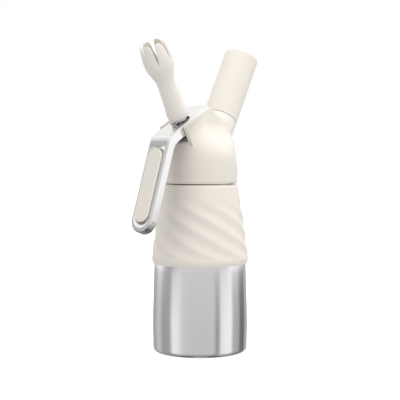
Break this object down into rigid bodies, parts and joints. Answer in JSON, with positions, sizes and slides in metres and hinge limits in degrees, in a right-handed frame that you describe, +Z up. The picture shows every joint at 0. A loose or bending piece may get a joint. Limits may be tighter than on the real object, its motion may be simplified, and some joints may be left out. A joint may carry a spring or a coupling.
{
  "type": "whipped cream dispenser",
  "caption": "Whipped cream dispenser: steel bottle with a fluted grip sleeve, lever head, decorating nozzle and gas charger holder.",
  "frame": {"origin": "centre of the bottle's foot, on the surface that it stands on", "axes": "+Z up along the bottle; the nozzle and the lever are towards -X and the charger holder towards +X"},
  "size_m": [0.1451, 0.0812, 0.2605],
  "materials": {
    "stainless_brushed": "satin",
    "stainless_polished": "gloss",
    "cream_plastic": "satin",
    "cream_silicone": "matte",
    "seal_silicone": "matte",
    "aluminium_insert": "satin",
    "spring_steel": "satin"
  },
  "bodies": {
    "vessel": {"bottle": "stainless_brushed", "sleeve": "cream_silicone"},
    "gasket": {"head_gasket": "seal_silicone"},
    "head": {"head_shell": "cream_plastic", "thread_ring": "aluminium_insert", "pivot_pin": "stainless_polished", "valve_guide": "stainless_polished", "spring_seat": "stainless_polished", "valve_spring": "spring_steel", "inlet_body": "stainless_polished", "piercing_pin": "stainless_polished", "charger_seal": "seal_silicone", "check_valve": "seal_silicone"},
    "lever": {"lever_frame": "stainless_polished", "lever_pad": "cream_plastic", "lever_yoke": "stainless_polished"},
    "valve": {"valve_stem": "stainless_polished", "poppet_seal": "seal_silicone", "stem_o_ring": "seal_silicone", "push_collar": "stainless_polished"},
    "seal": {"tip_seal": "seal_silicone"},
    "nozzle": {"decorating_nozzle": "cream_plastic"},
    "charger": {"gas_charger": "spring_steel"},
    "holder": {"charger_holder": "cream_plastic", "holder_ring": "aluminium_insert"}
  },
  "joints": [
    {"name": "head_lift", "type": "slide", "parent": "vessel", "child": "gasket", "axis": [0, 0, 1], "range_m": [0, 0.00801]},
    {"name": "head_turn", "type": "hinge", "parent": "gasket", "child": "head", "pos_m": [0, 0, 0.15], "axis": [0, 0, 1], "range_deg": [0, 720]},
    {"name": "lever_press", "type": "hinge", "parent": "head", "child": "lever", "pos_m": [-0.005, 0, 0.19745], "axis": [0, -1, 0], "range_deg": [0, 10], "stiffness_Nm_per_rad": 2, "springref_deg": -14.32},
    {"name": "valve_slide", "type": "slide", "parent": "head", "child": "valve", "axis": [0.4924, 0, -0.8704], "range_m": [0, 0.0035], "deforming": ["valve_spring"]},
    {"name": "seal_lift", "type": "slide", "parent": "valve", "child": "seal", "axis": [-0.4924, 0, 0.8704], "range_m": [0, 0.006]},
    {"name": "nozzle_turn", "type": "hinge", "parent": "seal", "child": "nozzle", "pos_m": [-0.02708, 0, 0.19587], "axis": [-0.4924, 0, 0.8704], "range_deg": [0, 1082]},
    {"name": "charger_lift", "type": "slide", "parent": "head", "child": "charger", "axis": [0.4848, 0, 0.8746], "range_m": [0, 0.008]},
    {"name": "holder_turn", "type": "hinge", "parent": "charger", "child": "holder", "pos_m": [0.02667, 0, 0.1961], "axis": [0.4848, 0, 0.8746], "range_deg": [0, 1442]}
  ],
  "couplings": [
    {"joint": "head_lift", "follows": "head_turn", "m_per_rad": 0.00063662},
    {"joint": "valve_slide", "follows": "lever_press", "m_per_rad": 0.02},
    {"joint": "nozzle_turn", "follows": "seal_lift", "rad_per_m": 3141.6},
    {"joint": "holder_turn", "follows": "charger_lift", "rad_per_m": 3141.6}
  ]
}
